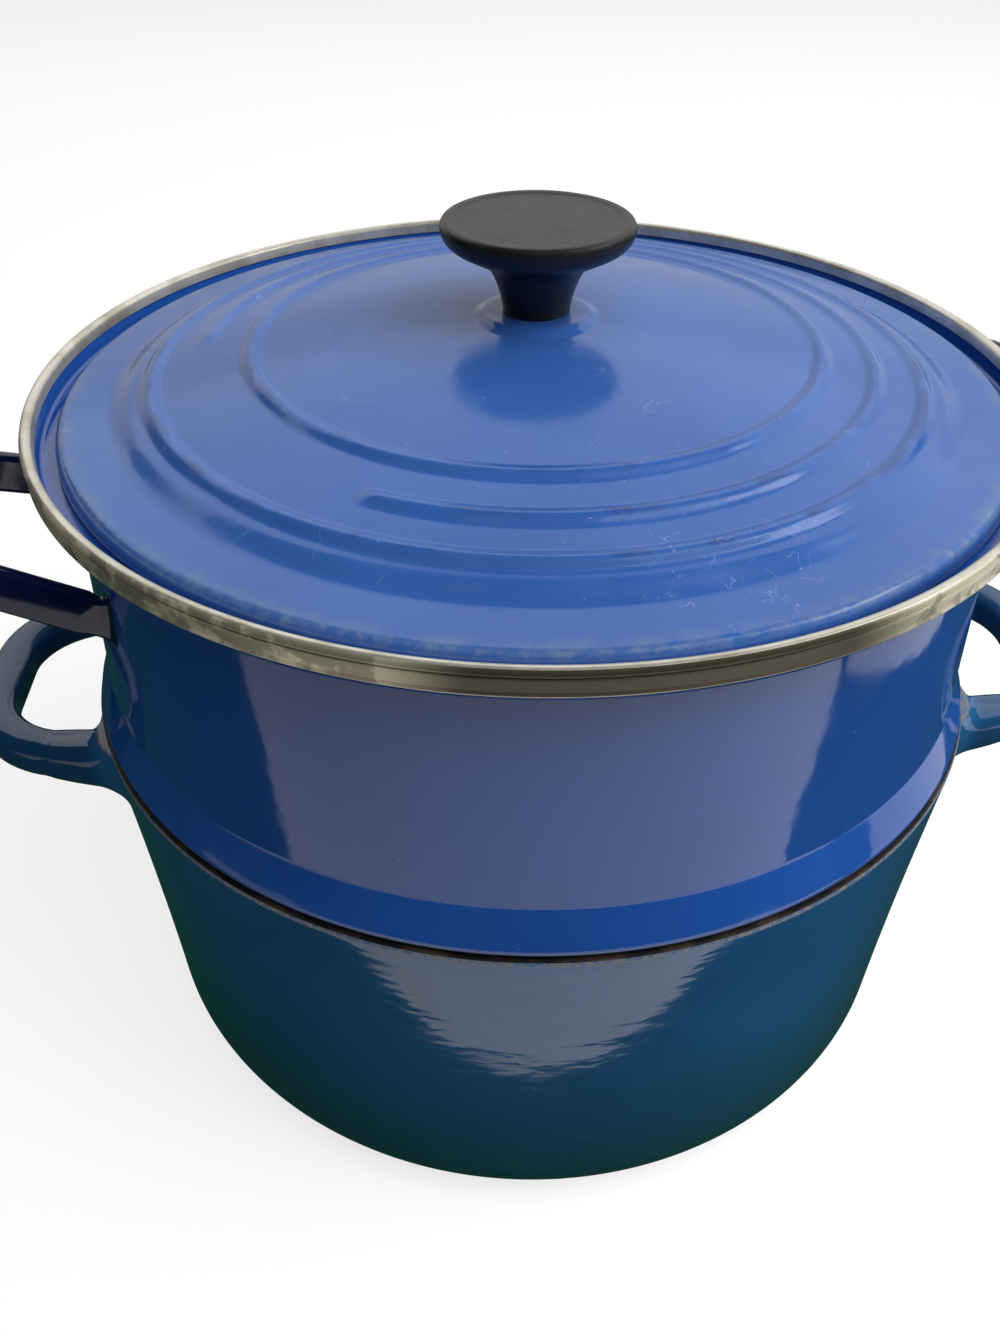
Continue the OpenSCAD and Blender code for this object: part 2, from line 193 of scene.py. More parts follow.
# Wear from one radius or height to another, broken up at its grain size
def wearMask(tree, wear, place, radius, height):
    across = radius if wear["by"] == "radius" else height
    rise = addNode(tree, "ShaderNodeMapRange", {"interpolation_type": "SMOOTHSTEP", "Value": across,
                                                "From Min": wear["from"] - wear["soft"],
                                                "From Max": wear["from"] + wear["soft"]})
    fall = addNode(tree, "ShaderNodeMapRange", {
        "interpolation_type": "SMOOTHSTEP", "Value": across, "From Min": wear["to"] - wear["soft"],
        "From Max": wear["to"] + wear["soft"], "To Min": 1.0, "To Max": 0.0})
    grain = addNode(tree, "ShaderNodeTexNoise", {
        "Vector": place, "Scale": 1 / wear["grainMm"], "Detail": 5.0, "Roughness": 0.62})
    broken = addNode(tree, "ShaderNodeMapRange", {"Value": grain, "From Min": wear["cut"][0],
                                                  "From Max": wear["cut"][1], "To Max": wear["amount"]})
    band = addNode(tree, "ShaderNodeMath", {"operation": "MULTIPLY", 0: rise, 1: fall})
    mask = addNode(tree, "ShaderNodeMath", {"operation": "MULTIPLY", 0: band, 1: broken})
    if "near" in wear:
        close = nearMask(tree, place, wear, 0.4)
        mask = addNode(tree, "ShaderNodeMath", {"operation": "MULTIPLY", 0: mask, 1: close})
    return mask


# Thin scratches: the contour lines of a soft cloud, only where a second cloud lets them through
def scratchMask(tree, look, place):
    cloud = addNode(tree, "ShaderNodeTexNoise", {
        "Vector": place, "Scale": 1 / look["bendMm"], "Detail": 2.0})
    level = addNode(tree, "ShaderNodeMath", {"operation": "SUBTRACT", 0: cloud, 1: 0.5})
    off = addNode(tree, "ShaderNodeMath", {"operation": "ABSOLUTE", 0: level})
    line = addNode(tree, "ShaderNodeMapRange", {
        "Value": off, "From Min": look["thin"] * 0.4, "From Max": look["thin"], "To Min": 1.0,
        "To Max": 0.0})
    gate = addNode(tree, "ShaderNodeTexNoise", {
        "Vector": place, "Scale": 1 / look["patchMm"], "Detail": 3.0})
    through = addNode(tree, "ShaderNodeMapRange", {
        "Value": gate, "From Min": look["cut"][0], "From Max": look["cut"][1], "To Max": look["amount"]})
    mask = addNode(tree, "ShaderNodeMath", {"operation": "MULTIPLY", 0: line, 1: through})
    if "near" in look:
        close = nearMask(tree, place, look, 0.5, "LINEAR")
        mask = addNode(tree, "ShaderNodeMath", {"operation": "MULTIPLY", 0: mask, 1: close})
    return mask


# Vitreous enamel is glass fused over iron or steel: glossy, deep in colour and wavy like orange peel.
# Pinholes are drawn near 1 mm wide, coarser than real ones, which would not show
def fusedEnamel(name, look):
    material, tree, surface = startMaterial(name)
    place, radius, height = positionMm(tree)
    cloud = addNode(tree, "ShaderNodeTexNoise", {
        "Vector": place, "Scale": 1 / look["cloudMm"], "Detail": 3.0})
    depth = addNode(tree, "ShaderNodeMapRange", {"Value": cloud, "From Min": 0.35, "From Max": 0.65})
    colour = addNode(tree, "ShaderNodeMix", {"data_type": "RGBA", 0: depth, 6: toLinear(look["colour"]),
                                             7: toLinear(look["deeper"])}, 2)
    if "foot" in look:  # darker and greener towards the foot
        reach = addNode(tree, "ShaderNodeMapRange", {
            "interpolation_type": "SMOOTHSTEP", "Value": height, "From Min": look["footFrom"][0],
            "From Max": look["footFrom"][1]})
        colour = addNode(tree, "ShaderNodeMix", {
            "data_type": "RGBA", 0: reach, 6: toLinear(look["foot"]), 7: colour}, 2)
    smear = addNode(tree, "ShaderNodeTexNoise", {
        "Vector": place, "Scale": 1 / look["smearMm"], "Detail": 4.0, "Roughness": 0.6})
    roughness = addNode(tree, "ShaderNodeMapRange", {"Value": smear, "From Min": 0.42, "From Max": 0.75,
                                                     "To Min": look["roughness"],
                                                     "To Max": look["roughness"] + look["haze"]})
    for wear in look["wear"]:
        mask = wearMask(tree, wear, place, radius, height)
        colour = addNode(tree, "ShaderNodeMix", {"data_type": "RGBA", 0: mask, 6: colour,
                                                 7: toLinear(wear["colour"])}, 2)
        roughness = addNode(tree, "ShaderNodeMath", {
            "operation": "MULTIPLY_ADD", 0: mask, 1: wear["rougher"], 2: roughness})
    for scratch in look["scratches"]:
        mask = scratchMask(tree, scratch, place)
        colour = addNode(tree, "ShaderNodeMix", {"data_type": "RGBA", 0: mask, 6: colour,
                                                 7: toLinear(scratch["colour"])}, 2)
        roughness = addNode(tree, "ShaderNodeMath", {
            "operation": "MULTIPLY_ADD", 0: mask, 1: 0.3, 2: roughness})
    speck = addNode(tree, "ShaderNodeTexNoise", {
        "Vector": place, "Scale": 1 / look["speckMm"], "Detail": 0.0})
    pinhole = addNode(tree, "ShaderNodeMapRange", {
        "Value": speck, "From Min": look["speckFrom"], "From Max": look["speckFrom"] + 0.02,
        "To Max": look["speckAmount"]})
    colour = addNode(tree, "ShaderNodeMix", {"data_type": "RGBA", 0: pinhole, 6: colour,
                                             7: toLinear(look["speck"])}, 2)
    drawn = addNode(tree, "ShaderNodeVectorMath", {"operation": "MULTIPLY", 0: place, 1: look["drawn"]})
    peel = addNode(tree, "ShaderNodeTexNoise", {"Vector": drawn, "Scale": 1 / look["peelMm"], "Detail": 1.0,
                                                "Roughness": 0.4})
    wave = addNode(tree, "ShaderNodeTexNoise", {"Vector": drawn, "Scale": 1 / look["waveMm"], "Detail": 1.0,
                                                "Roughness": 0.4})
    relief = addNode(tree, "ShaderNodeMath", {
        "operation": "MULTIPLY_ADD", 0: wave, 1: look["waveHigh"], 2: peel})
    normal = addNode(tree, "ShaderNodeBump", {
        "Strength": 1.0, "Distance": look["peelDepth"] * mm, "Height": relief})
    linkSurface(tree, surface, colour, roughness, normal)
    surface.inputs["IOR"].default_value = look["ior"]
    return material


lidGlaze = {
    "colour": "#315a9f", "deeper": "#2c5396", "cloudMm": 45, "smearMm": 16, "roughness": 0.14, "haze": 0.14,
    "ior": 1.56, "drawn": (1, 1, 1), "peelMm": 3.2, "waveMm": 13, "waveHigh": 2.4, "peelDepth": 0.03,
    "speckMm": 0.9, "speck": "#93a5c8", "speckFrom": 0.87, "speckAmount": 0.4,
    "wear": [
        # glaze worn thin and dark on the crests of the rings
        {"by": "radius", "from": 71.2, "to": 73.4, "soft": 0.7, "grainMm": 9, "cut": (0.52, 0.6),
         "amount": 0.25, "colour": "#122046", "rougher": 0.15},
        {"by": "radius", "from": 84.6, "to": 86.4, "soft": 0.7, "grainMm": 14, "cut": (0.48, 0.58),
         "amount": 0.4, "colour": "#101c40", "rougher": 0.15, "near": (45, -72, 203), "within": 100},
        {"by": "radius", "from": 96.6, "to": 98.4, "soft": 0.7, "grainMm": 12, "cut": (0.48, 0.58),
         "amount": 0.36, "colour": "#101c40", "rougher": 0.15},
        # greenish grey wear along the edge, fine towards the rim
        {"by": "radius", "from": 116.6, "to": 119.8, "soft": 1.8, "grainMm": 9, "cut": (0.36, 0.66),
         "amount": 0.5, "colour": "#5b7183", "rougher": 0.05},
        {"by": "radius", "from": 118.8, "to": 120.4, "soft": 0.9, "grainMm": 2.6, "cut": (0.44, 0.7),
         "amount": 0.45, "colour": "#7d8a84", "rougher": 0.06}],
    "scratches": [
        {"bendMm": 5, "thin": 0.014, "patchMm": 6, "cut": (0.5, 0.62), "amount": 0.35,
         "near": (32, -100, 196), "within": 26, "colour": "#8ea6d8"},
        {"bendMm": 17, "thin": 0.006, "patchMm": 10, "cut": (0.6, 0.7), "amount": 0.25,
         "colour": "#7f98cc"}]}
panGlaze = {
    "colour": "#1f4e9c", "deeper": "#1b4893", "cloudMm": 60, "smearMm": 22, "roughness": 0.06, "haze": 0.06,
    "ior": 1.6, "drawn": (1, 1, 0.6), "peelMm": 4.5, "waveMm": 18, "waveHigh": 2.6, "peelDepth": 0.04,
    "speckMm": 0.9, "speck": "#8fa2c2", "speckFrom": 0.875, "speckAmount": 0.35,
    "wear": [
        # grime under the band, and painted shade where the band overhangs the wall
        {"by": "height", "from": 179, "to": 184.6, "soft": 1.4, "grainMm": 7, "cut": (0.52, 0.62),
         "amount": 0.4, "colour": "#2b3547", "rougher": 0.3},
        # the step's edge carries a painted highlight, a paler line, above painted shade on its underside
        {"by": "height", "from": 111.3, "to": 112.5, "soft": 0.3, "grainMm": 30, "cut": (0.2, 0.5),
         "amount": 0.45, "colour": "#6a7596", "rougher": 0.1},
        {"by": "height", "from": 109, "to": 110.9, "soft": 0.3, "grainMm": 3, "cut": (0.42, 0.56),
         "amount": 0.5, "colour": "#12161f", "rougher": 0.3}],
    "scratches": [
        {"bendMm": 21, "thin": 0.006, "patchMm": 12, "cut": (0.6, 0.7), "amount": 0.25,
         "colour": "#41608f"}]}
potGlaze = {
    "colour": "#22598a", "deeper": "#1e5180", "foot": "#164349", "footFrom": (0, 80), "cloudMm": 50,
    "smearMm": 14, "roughness": 0.07, "haze": 0.06, "ior": 1.6, "drawn": (0.42, 0.42, 1), "peelMm": 2.2,
    "waveMm": 6, "waveHigh": 2.6, "peelDepth": 0.05,
    "speckMm": 1.1, "speck": "#6f8a4a", "speckFrom": 0.85, "speckAmount": 0.3,
    "wear": [
        # the handles carry a darker copy of the glaze: painted shade
        {"by": "radius", "from": 128, "to": 180, "soft": 3, "grainMm": 60, "cut": (0.0, 0.1),
         "amount": 0.55, "colour": "#0d2038", "rougher": 0.0},
        # the rim's edge is worn to a pale brown primer
        {"by": "height", "from": 109.2, "to": 111, "soft": 0.25, "grainMm": 1.2, "cut": (0.3, 0.6),
         "amount": 0.75, "colour": "#78705f", "rougher": 0.35}],
    "scratches": [
        {"bendMm": 16, "thin": 0.006, "patchMm": 12, "cut": (0.58, 0.7), "amount": 0.25,
         "colour": "#42686f"}]}
# the straps' glaze is the pan's blue darkened to near navy black: painted shade
strapShadedGlaze = {**panGlaze, "colour": "#0b173f", "deeper": "#0a1538", "wear": [], "scratches": []}
paleGlaze = {
    "colour": "#ded3ba", "deeper": "#d3c6a8", "cloudMm": 30, "smearMm": 16, "roughness": 0.14, "haze": 0.12,
    "ior": 1.55, "drawn": (1, 1, 1), "peelMm": 3.5, "waveMm": 12, "waveHigh": 2.0, "peelDepth": 0.04,
    "speckMm": 1.4, "speck": "#8a7a5c", "speckFrom": 0.82, "speckAmount": 0.5, "wear": [],
    "scratches": [
        {"bendMm": 19, "thin": 0.008, "patchMm": 20, "cut": (0.5, 0.62), "amount": 0.4,
         "colour": "#8d8067"}]}

lidEnamel = fusedEnamel("lidEnamel", lidGlaze)
panEnamel = fusedEnamel("panEnamel", panGlaze)
potEnamel = fusedEnamel("potEnamel", potGlaze)
strapShadedEnamel = fusedEnamel("strapShadedEnamel", strapShadedGlaze)
paleEnamel = fusedEnamel("paleEnamel", paleGlaze)


# Bare cast iron is matt and near black, with a sandy grain of about half a millimetre and thin rust
ironLook = {"colour": "#151313", "rust": "#33281f", "grainMm": 0.6, "rustMm": 7, "cut": (0.45, 0.65),
            "roughness": (0.5, 0.75), "grainDepth": 0.1}


def bareIron(look):
    material, tree, surface = startMaterial("bareCastIron")
    place = positionMm(tree)[0]
    grain = addNode(tree, "ShaderNodeTexNoise", {
        "Vector": place, "Scale": 1 / look["grainMm"], "Detail": 4.0, "Roughness": 0.7})
    rust = addNode(tree, "ShaderNodeTexNoise", {"Vector": place, "Scale": 1 / look["rustMm"], "Detail": 3.0})
    rusty = addNode(tree, "ShaderNodeMapRange", {
        "Value": rust, "From Min": look["cut"][0], "From Max": look["cut"][1]})
    colour = addNode(tree, "ShaderNodeMix", {
        "data_type": "RGBA", 0: rusty, 6: toLinear(look["colour"]), 7: toLinear(look["rust"])}, 2)
    roughness = addNode(tree, "ShaderNodeMapRange", {
        "Value": grain, "From Min": 0.3, "From Max": 0.7, "To Min": look["roughness"][0],
        "To Max": look["roughness"][1]})
    normal = addNode(tree, "ShaderNodeBump", {"Distance": look["grainDepth"] * mm, "Height": grain})
    linkSurface(tree, surface, colour, roughness, normal)
    return material


# Drawn metal has fine lines that run round the part, and tarnish lies over it in patches; on the band's face
# the patches are partly painted reflection.
# Real lines are finer than 0.1 mm and would not show, so they are three times as coarse
def drawnMetal(name, look):
    material, tree, surface = startMaterial(name)
    place, radius, height = positionMm(tree)
    flat = addNode(tree, "ShaderNodeVectorMath", {"operation": "MULTIPLY", 0: place, 1: (1, 1, 0)})
    ahead = addNode(tree, "ShaderNodeVectorMath", {"operation": "NORMALIZE", 0: flat})
    across = addNode(tree, "ShaderNodeMath", {"operation": "ADD", 0: height, 1: radius})
    counted = addNode(tree, "ShaderNodeMath", {"operation": "MULTIPLY", 0: across, 1: 1 / look["lineMm"]})
    lifted = addNode(tree, "ShaderNodeCombineXYZ", {"Z": counted})
    along = addNode(tree, "ShaderNodeVectorMath", {
        "operation": "MULTIPLY_ADD", 0: ahead, 1: (9, 9, 9), 2: lifted})
    lines = addNode(tree, "ShaderNodeTexNoise", {
        "Vector": along, "Scale": 1.0, "Detail": 4.0, "Roughness": 0.6})
    patch = addNode(tree, "ShaderNodeTexNoise", {
        "Vector": place, "Scale": 1 / look["patchMm"], "Detail": 4.0, "Roughness": 0.6})
    amount = addNode(tree, "ShaderNodeMapRange", {
        "Value": patch, "From Min": look["cut"][0], "From Max": look["cut"][1], "To Max": look["patched"]})
    if "near" in look:  # one side is darkened all over; on the band this is painted reflection
        close = nearMask(tree, place, look, 0.6)
        amount = addNode(tree, "ShaderNodeMath", {"operation": "MAXIMUM", 0: amount, 1: close})
    colour = addNode(tree, "ShaderNodeMix", {"data_type": "RGBA", 0: amount, 6: toLinear(look["colour"]),
                                             7: toLinear(look["tarnishAndReflection"])}, 2)
    roughness = addNode(tree, "ShaderNodeMapRange", {"Value": lines, "From Min": 0.3, "From Max": 0.7,
                                                     "To Min": look["roughness"] - 0.05,
                                                     "To Max": look["roughness"] + 0.1})
    dent = addNode(tree, "ShaderNodeTexNoise", {"Vector": place, "Scale": 1 / look["dentMm"], "Detail": 2.0})
    relief = addNode(tree, "ShaderNodeMath", {
        "operation": "MULTIPLY_ADD", 0: dent, 1: look["dentHigh"], 2: lines})
    normal = addNode(tree, "ShaderNodeBump", {"Distance": look["lineDepth"] * mm, "Height": relief})
    linkSurface(tree, surface, colour, roughness, normal)
    surface.inputs["Metallic"].default_value = look["metal"]
    return material


# Phenolic is a black moulding, satin, with a fine pebble and slightly paler handled patches
phenolicLook = {"colour": "#1a1a1b", "handled": "#232220", "handledMm": 9, "cut": (0.45, 0.75),
                "roughness": (0.34, 0.44), "pebbleMm": 0.7, "swellMm": 7, "swellHigh": 2.0,
                "pebbleDepth": 0.03, "ior": 1.5}


def mouldedPhenolic(look):
    material, tree, surface = startMaterial("mouldedPhenolic")
    place = positionMm(tree)[0]
    handled = addNode(tree, "ShaderNodeTexNoise", {
        "Vector": place, "Scale": 1 / look["handledMm"], "Detail": 5.0, "Roughness": 0.65})
    paler = addNode(tree, "ShaderNodeMapRange", {
        "Value": handled, "From Min": look["cut"][0], "From Max": look["cut"][1]})
    colour = addNode(tree, "ShaderNodeMix", {
        "data_type": "RGBA", 0: paler, 6: toLinear(look["colour"]), 7: toLinear(look["handled"])}, 2)
    roughness = addNode(tree, "ShaderNodeMapRange", {
        "Value": handled, "From Min": 0.35, "From Max": 0.7, "To Min": look["roughness"][0],
        "To Max": look["roughness"][1]})
    pebble = addNode(tree, "ShaderNodeTexNoise", {
        "Vector": place, "Scale": 1 / look["pebbleMm"], "Detail": 2.0})
    swell = addNode(tree, "ShaderNodeTexNoise", {
        "Vector": place, "Scale": 1 / look["swellMm"], "Detail": 1.0})
    relief = addNode(tree, "ShaderNodeMath", {
        "operation": "MULTIPLY_ADD", 0: swell, 1: look["swellHigh"], 2: pebble})
    normal = addNode(tree, "ShaderNodeBump", {"Distance": look["pebbleDepth"] * mm, "Height": relief})
    linkSurface(tree, surface, colour, roughness, normal)
    surface.inputs["IOR"].default_value = look["ior"]
    return material


brightBand = drawnMetal("brightBandSteel", {
    "colour": "#dcd7ca", "tarnishAndReflection": "#b3ab97", "patchMm": 14, "cut": (0.45, 0.7), "patched": 1.0,
    "metal": 0.75, "roughness": 0.3, "lineMm": 0.35, "lineDepth": 0.01, "dentMm": 9, "dentHigh": 5.0})
stainAndReflectionBand = drawnMetal("stainAndReflectionBandSteel", {  # grease stain and painted reflection dull part of the metal, darkest at the front
    "colour": "#d6cdb4", "tarnishAndReflection": "#4d4738", "patchMm": 9, "cut": (0.46, 0.54), "patched": 0.6,
    "metal": 0.5, "roughness": 0.34, "lineMm": 0.35, "lineDepth": 0.012, "dentMm": 8, "dentHigh": 12.0,
    "near": (14, -128, 190), "within": 60})
screwSteel = drawnMetal("turnedSteel", {
    "colour": "#cfcdc8", "tarnishAndReflection": "#a7a49c", "patchMm": 4, "cut": (0.4, 0.7), "patched": 1.0, "metal": 1.0,
    "roughness": 0.28, "lineMm": 0.3, "lineDepth": 0.01, "dentMm": 7, "dentHigh": 2.0})
bushBrass = drawnMetal("turnedBrass", {
    "colour": "#c9a24e", "tarnishAndReflection": "#8f7034", "patchMm": 4, "cut": (0.4, 0.7), "patched": 1.0, "metal": 1.0,
    "roughness": 0.3, "lineMm": 0.3, "lineDepth": 0.01, "dentMm": 7, "dentHigh": 2.0})
castIron = bareIron(ironLook)
phenolic = mouldedPhenolic(phenolicLook)
print("materials made")

# lower pot, in mm
pot = {"height": 110.4, "rimR": 123.7, "lean": 7, "footLean": 3.7, "wall": 5, "floor": 5, "corner": 19,
       "rimRound": 1.0, "turns": 288}
leanSine, footSine = (math.sin(math.radians(pot[key])) for key in ("lean", "footLean"))
pot["flareR"] = pot["height"] / (leanSine - footSine)
pot["flareZ"] = pot["height"] - pot["flareR"] * leanSine
pot["flareX"] = pot["rimR"] + pot["flareR"] * math.cos(math.radians(pot["lean"]))


def potWallAt(z):
    return pot["flareX"] - math.sqrt(pot["flareR"] ** 2 - (z - pot["flareZ"]) ** 2)


# A circle that touches the flare, with its middle at a given height: the angle of the touch and its middle
def touchFlare(z, span):
    angle = math.asin((z - pot["flareZ"]) / span)
    return math.degrees(angle), pot["flareX"] - span * math.cos(angle)


def potOutline():
    rr, corner, floor = pot["rimRound"], pot["corner"], pot["floor"]
    outer, inner = pot["flareR"], pot["flareR"] + pot["wall"]
    edgeZ, inCorner = pot["height"] - rr, corner - pot["wall"]
    outA, outX = touchFlare(edgeZ, outer + rr)
    inA, inX = touchFlare(edgeZ, inner - rr)
    footA, footX = touchFlare(corner, outer + corner)
    floorA, floorX = touchFlare(floor + inCorner, inner + inCorner)
    outside = line((0, 0), (footX, 0), 8) + arc(footX, corner, corner, -90, -footA, 20) \
        + arc(pot["flareX"], pot["flareZ"], outer, 180 - footA, 180 - outA, 34)
    glazed = arc(outX, edgeZ, rr, -outA, 50, 6)
    bare = arc(outX, edgeZ, rr, 50, 90, 4) + arc(inX, edgeZ, rr, 90, 180 - inA, 8)
    inside = arc(pot["flareX"], pot["flareZ"], inner, 180 - inA, 180 - floorA, 30) \
        + arc(floorX, floor + inCorner, inCorner, -floorA, -90, 14) + line((floorX, floor), (0, floor), 8)
    return [(outside + glazed, 0), (bare, 1), (inside, 2)]


# Bar and strap handles: a rounded bar along a loop in a plane, whose feet swell into the wall
def roundedSection(width, tall, radius, steps=6):
    section = []
    for q, (sx, sy) in enumerate(((1, 1), (-1, 1), (-1, -1), (1, -1))):
        for i in range(steps + 1):
            t = math.radians(90 * (q + i / steps))
            section.append((sx * (width / 2 - radius) + radius * math.cos(t),
                            sy * (tall / 2 - radius) + radius * math.sin(t)))
    return section


# The loop's centre line as (x, y, heading), from inside the wall round to inside the wall
def loopPath(spec):
    armSteps, bendSteps, barSteps = 44, 24, 4  # steps are closer near the wall, where the fillet is
    lean = math.radians(spec["lean"])
    barX = spec["reach"] - spec["width"] / 2
    bendX = barX - spec["bend"]
    armEnd = bendX + spec["bend"] * math.sin(lean)
    bendY = spec["halfWidth"] - (armEnd - spec["foot"]) * math.tan(lean) - spec["bend"] * math.cos(lean)
    half = []
    for i in range(armSteps):
        x = spec["start"] + (armEnd - spec["start"]) * (i / armSteps) ** 1.5
        half.append((x, spec["halfWidth"] - (x - spec["foot"]) * math.tan(lean), -lean))
    for i in range(bendSteps + 1):
        t = (math.pi / 2 - lean) * (1 - i / bendSteps)
        x, y = bendX + spec["bend"] * math.cos(t), bendY + spec["bend"] * math.sin(t)
        half.append((x, y, t - math.pi / 2))
    for i in range(1, barSteps + 1):
        half.append((barX, bendY * (1 - i / barSteps), -math.pi / 2))
    back = [(x, -y, -math.pi - h) for x, y, h in reversed(half[:-1])]
    return half + back


# A fillet's growth at a distance from the wall
def filletAt(radius, gap):
    return radius - math.sqrt(max(0.0, radius ** 2 - max(0.0, radius - max(0.0, gap)) ** 2))


def loopHandle(spec, wallAt, turn):
    barHalf = 8  # mm, the bar's middle has no wall to follow
    tilt, around = math.radians(spec["tilt"]), math.radians(turn)
    section = roundedSection(spec["width"], spec["tall"], spec["round"])
    halfW, halfT = spec["width"] / 2, spec["tall"] / 2
    points, faces = [], []
    path = loopPath(spec)
    for x, y, heading in path:
        side = (-math.sin(heading), math.cos(heading))
        out = x - spec["foot"]
        midR, midZ = math.hypot(spec["foot"] + out * math.cos(tilt), y), spec["z"] + out * math.sin(tilt)
        gap = midR - wallAt(midZ)
        grow = min(1.0, max(0.0, 1 - (x - spec["rootX"]) / spec["rootLength"]))
        hug = min(1.0, max(0.0, 1 - gap / spec["hug"])) if abs(y) > barHalf else 0.0
        wider, taller = grow * spec["rootWide"], grow * spec["rootRise"]
        swellSide, swellUp = filletAt(spec["swellSide"], gap), filletAt(spec["swellUp"], gap)
        for u, v in section:
            wide = u + (u + halfW) / (2 * halfW) * wider + u / halfW * swellSide
            tall = v + (v + halfT) / (2 * halfT) * taller + v / halfT * swellUp
            flatX = out + wide * side[0]
            px = spec["foot"] + flatX * math.cos(tilt) - tall * math.sin(tilt)
            py = y + wide * side[1]
            pz = min(spec["z"] + flatX * math.sin(tilt) + tall * math.cos(tilt), spec["zTop"])
            reach = math.hypot(px, py)  # near the wall, a section follows the wall's curve
            follow = (reach + (wallAt(pz) + gap - reach) * hug) / reach
            px, py = px * follow, py * follow
            points.append((px * math.cos(around) - py * math.sin(around),
                           px * math.sin(around) + py * math.cos(around), pz))
    n = len(section)
    for i in range(len(path) - 1):
        for k in range(n):
            faces.append((i * n + k, (i + 1) * n + k, (i + 1) * n + (k + 1) % n, i * n + (k + 1) % n))
    faces.append(tuple(range(n)))
    faces.append(tuple(reversed(range((len(path) - 1) * n, len(path) * n))))
    return points, faces


potGrip = {
    "reach": 159.5, "halfWidth": 36.5, "lean": 11, "width": 11, "tall": 11.5, "round": 4, "bend": 25,
    "z": 99.25, "foot": 116.8, "start": 114.3, "tilt": 0, "rootX": 114.8, "rootLength": 20, "rootWide": 7,
    "rootRise": 4.4, "hug": 14, "swellSide": 5, "swellUp": 5, "zTop": 109.7}


def joinData(base, extra, zone):
    points, faces, zones = base
    shift = len(points)
    moved = [tuple(c + shift for c in f) for f in extra[1]]
    return points + extra[0], faces + moved, zones + [zone] * len(moved)


potData = turnOutline(potOutline(), pot["turns"])
for turn in (0, 180):
    potData = joinData(potData, loopHandle(potGrip, potWallAt, turn), 0)
castPot = makePiece("castPot", "pot", "pot_enamel", *potData, [potEnamel, castIron, paleEnamel])
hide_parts("lower_pot")
print("pot made")

# upper pan, in mm
pan = {
    "sheet": 1.8, "wallR": 119, "floorZ": 58.4, "corner": 17, "gap": 1.2, "shelfZ": 110.7, "shelfBend": 1.2,
    "stepR": 122.8, "stepRound": 1.9, "stepH": 10.6, "stepBend": 3, "rimZ": 193.4, "seatZ": 185.2,
    "seatBend": 0.5, "lean": 8, "turns": 288}
band = {"r": 128, "height": 6.4, "strip": 0.5, "gap": 0.05, "lip": 2.2, "groove": 0.45, "roll": 0.42,
        "turns": 360, "sharp": 50}
band["bead"] = band["strip"] + band["gap"] + pan["sheet"] / 2
band["flangeY"] = band["height"] - band["bead"] * 0.85
band["z"] = pan["rimZ"] - band["bead"] * math.sin(math.radians(pan["lean"])) \
    - band["flangeY"] * math.cos(math.radians(pan["lean"]))


def onBand(x, y):
    sine, cosine = math.sin(math.radians(pan["lean"])), math.cos(math.radians(pan["lean"]))
    return band["r"] + x * cosine + y * sine, band["z"] - x * sine + y * cosine


# The same arc run at a depth below the sheet's outer face; side is -1 where the arc's centre is outside
def sheetArc(cx, cz, radius, start, end, side, depth, steps):
    return arc(cx, cz, radius - side * depth, start, end, steps)


def panOutline():
    insertR = pot["flareR"] + pot["wall"] + pan["gap"]
    cornerZ, neckZ = pan["floorZ"] + pan["corner"], pan["shelfZ"] - pan["shelfBend"]
    cornerA, cornerX = touchFlare(cornerZ, insertR + pan["corner"])
    neckA, neckX = touchFlare(neckZ, insertR - pan["shelfBend"])
    stepX, stepZ = pan["stepR"] - pan["stepRound"], pan["shelfZ"] + pan["stepRound"]
    bendX, bendZ = pan["wallR"] + pan["stepBend"], stepZ + pan["stepH"]
    slope = math.asin((pan["stepBend"] + pan["stepRound"]) / math.dist((stepX, stepZ), (bendX, bendZ)))
    slopeA = math.degrees(slope - math.atan2(bendX - stepX, pan["stepH"]))
    seatCorner = pan["sheet"] + 1.4
    lean = math.radians(pan["lean"])
    seatLx = -(band["strip"] + band["gap"]) - seatCorner
    seatLy = (pan["seatZ"] + seatCorner - band["z"] + seatLx * math.sin(lean)) / math.cos(lean)
    seatX = onBand(seatLx, seatLy)[0]

    def run(depth):
        edge = sheetArc(stepX, stepZ, pan["stepRound"], -90, slopeA, 1, depth, 14)
        bend = sheetArc(bendX, bendZ, pan["stepBend"], 180 + slopeA, 180, -1, depth, 8)
        below = sheetArc(cornerX, cornerZ, pan["corner"], -90, -cornerA, 1, depth, 14) \
            + sheetArc(pot["flareX"], pot["flareZ"], insertR, 180 - cornerA, 180 - neckA, -1, depth, 16) \
            + sheetArc(neckX, neckZ, pan["shelfBend"], 180 - neckA, 90, -1, depth, 6) \
            + edge + line(edge[-1], bend[0], 1.5) + bend
        wallX, wallTop = pan["wallR"] - depth, pan["seatZ"] - pan["seatBend"]
        above = line((wallX, bendZ), (wallX, wallTop), 3.5) \
            + sheetArc(pan["wallR"] + pan["seatBend"], wallTop, pan["seatBend"], 180, 90, -1, depth, 6) \
            + sheetArc(seatX, pan["seatZ"] + seatCorner, seatCorner, -90, -pan["lean"], 1, depth, 10)
        top = onBand(-(band["strip"] + band["gap"]) - depth, band["flangeY"])
        return below, above + line(above[-1], top, 1.5)

    outLow, outHigh = run(0)
    inLow, inHigh = run(pan["sheet"])
    flange = [p for p in inHigh if p[0] > pan["wallR"] + 0.4]
    inWall = [p for p in inHigh if p[0] <= pan["wallR"] + 0.4]
    floor = pan["floorZ"] + pan["sheet"]
    return [(line((0, pan["floorZ"]), (cornerX, pan["floorZ"]), 8) + outLow + outHigh, 0),
            (list(reversed(flange)), 0),
            (list(reversed(inWall)) + list(reversed(inLow)) + line((cornerX, floor), (0, floor), 8), 1)]


panPiece = makePiece("pressedPan", "pan", "pan_enamel", *turnOutline(panOutline(), pan["turns"]),
                     [panEnamel, paleEnamel])
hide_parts("upper_pan")


